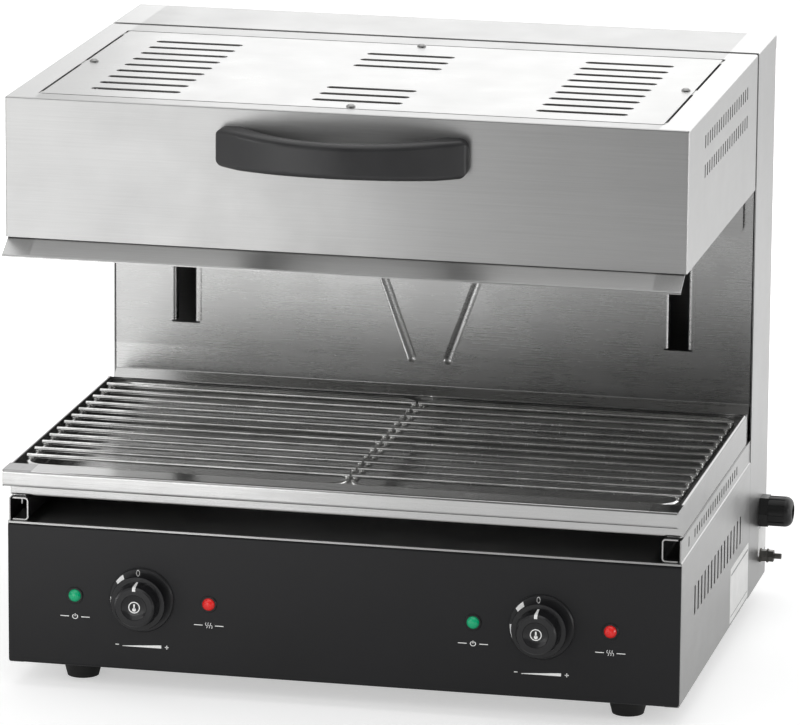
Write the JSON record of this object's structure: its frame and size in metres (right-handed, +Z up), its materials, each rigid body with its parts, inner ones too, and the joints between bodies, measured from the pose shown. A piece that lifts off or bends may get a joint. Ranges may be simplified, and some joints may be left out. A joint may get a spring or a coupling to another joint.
{
  "type": "salamander grill",
  "caption": "Counter-top salamander grill: a counterbalanced heating head slides up and down on a column above a wire grid and pull-out grease tray, with thermostat knobs on a black panel.",
  "frame": {"origin": "on the floor, under the middle of the overall box, handle and cable gland included", "axes": "+X to the right when facing the controls, +Y to the back, +Z up"},
  "size_m": [0.6302, 0.5124, 0.5324],
  "materials": {
    "foot_rubber": "matt",
    "zinc_screw": "zinc plated",
    "stainless_inner": "mill finish",
    "stainless_outer": "fine brushed satin",
    "panel_black": "satin black enamel",
    "hard_steel": "ground and polished",
    "wire_rope": "stranded",
    "dial_plate": "black with white marks",
    "phenolic_brown": "moulded",
    "nylon_black": "moulded",
    "lens_green": "translucent",
    "lens_red": "translucent",
    "brass_stud": "machined",
    "handle_black": "fine satin",
    "mineral_wool": "fibrous",
    "element_sheath": "oxidised",
    "terminal_ceramic": "unglazed",
    "bronze_bush": "sintered",
    "weight_steel": "primed",
    "pulley_nylon": "moulded",
    "chromed_wire": "bright plated",
    "knob_black": "satin gloss with bright skirt"
  },
  "bodies": {
    "base": {"feet": "foot_rubber", "foot_nuts": "zinc_screw", "base_floor_pan": "stainless_inner", "base_side_left": "stainless_outer", "base_side_right": "stainless_outer", "control_panel": "panel_black", "base_deck": "stainless_outer", "tray_rail_left": "stainless_inner", "tray_rail_right": "stainless_inner", "column_shell": "stainless_outer", "column_front_panel": "stainless_outer", "column_back_cover": "stainless_outer", "back_cover_screws": "zinc_screw", "guide_rod_left": "hard_steel", "guide_rod_right": "hard_steel", "guide_rod_brackets": "stainless_inner", "pulley_brackets": "stainless_inner", "pulley_axles": "hard_steel", "cable_wraps": "wire_rope", "counterweight_guides": "stainless_inner", "dial_rings": "dial_plate", "thermostats": "phenolic_brown", "pilot_light_housings": "nylon_black", "power_light_lenses": "lens_green", "heat_light_lenses": "lens_red", "cable_gland_body": "nylon_black", "cable_gland_nut": "nylon_black", "bonding_stud": "brass_stud", "bonding_nuts": "zinc_screw", "terminal_block": "nylon_black"},
    "head": {"head_casing": "stainless_outer", "head_top_cover": "stainless_outer", "head_cover_screws": "zinc_screw", "head_deflector": "stainless_outer", "head_rear_shield": "stainless_outer", "handle": "handle_black", "handle_screws": "zinc_screw", "reflector_pan": "stainless_inner", "insulation_slab": "mineral_wool", "heating_element_left": "element_sheath", "heating_element_right": "element_sheath", "element_terminals": "terminal_ceramic", "element_supports": "stainless_inner", "lift_arm_left": "stainless_inner", "lift_arm_right": "stainless_inner", "lift_carriage": "stainless_inner", "carriage_bushes": "bronze_bush", "lift_cables_front": "wire_rope"},
    "counterweight": {"counterweight": "weight_steel", "lift_cables_back": "wire_rope"},
    "pulley_left": {"pulley_left": "pulley_nylon"},
    "pulley_right": {"pulley_right": "pulley_nylon"},
    "tray": {"grease_tray": "stainless_outer", "grid_rests": "stainless_inner"},
    "grid_left": {"grill_grid_left": "chromed_wire"},
    "grid_right": {"grill_grid_right": "chromed_wire"},
    "knob_left": {"knob_left": "knob_black", "thermostat_shaft_left": "hard_steel"},
    "knob_right": {"knob_right": "knob_black", "thermostat_shaft_right": "hard_steel"}
  },
  "joints": [
    {"name": "head_lift", "type": "slide", "parent": "base", "child": "head", "axis": [0, 0, 1], "range_m": [-0.15, 0], "deforming": ["lift_cables_front"]},
    {"name": "counterweight_slide", "type": "slide", "parent": "base", "child": "counterweight", "axis": [0, 0, 1], "range_m": [0, 0.15], "deforming": ["lift_cables_back"]},
    {"name": "pulley_left_spin", "type": "hinge", "parent": "base", "child": "pulley_left", "pos_m": [-0.13505, 0.20902, 0.503], "axis": [1, 0, 0], "range_deg": [-5, 435]},
    {"name": "pulley_right_spin", "type": "hinge", "parent": "base", "child": "pulley_right", "pos_m": [0.10495, 0.20902, 0.503], "axis": [1, 0, 0], "range_deg": [-5, 435]},
    {"name": "tray_slide", "type": "slide", "parent": "base", "child": "tray", "axis": [0, -1, 0], "range_m": [0, 0.35]},
    {"name": "grid_left_lift", "type": "slide", "parent": "tray", "child": "grid_left", "axis": [0, 0, 1], "range_m": [0, 0.03]},
    {"name": "grid_right_lift", "type": "slide", "parent": "tray", "child": "grid_right", "axis": [0, 0, 1], "range_m": [0, 0.03]},
    {"name": "knob_left_turn", "type": "hinge", "parent": "base", "child": "knob_left", "pos_m": [-0.19355, -0.22118, 0.087], "axis": [0, 1, 0], "range_deg": [0, 300]},
    {"name": "knob_right_turn", "type": "hinge", "parent": "base", "child": "knob_right", "pos_m": [0.16345, -0.22118, 0.087], "axis": [0, 1, 0], "range_deg": [0, 300]}
  ],
  "couplings": [
    {"joint": "counterweight_slide", "follows": "head_lift", "ratio": -1},
    {"joint": "pulley_left_spin", "follows": "head_lift", "rad_per_m": -50},
    {"joint": "pulley_right_spin", "follows": "head_lift", "rad_per_m": -50}
  ]
}
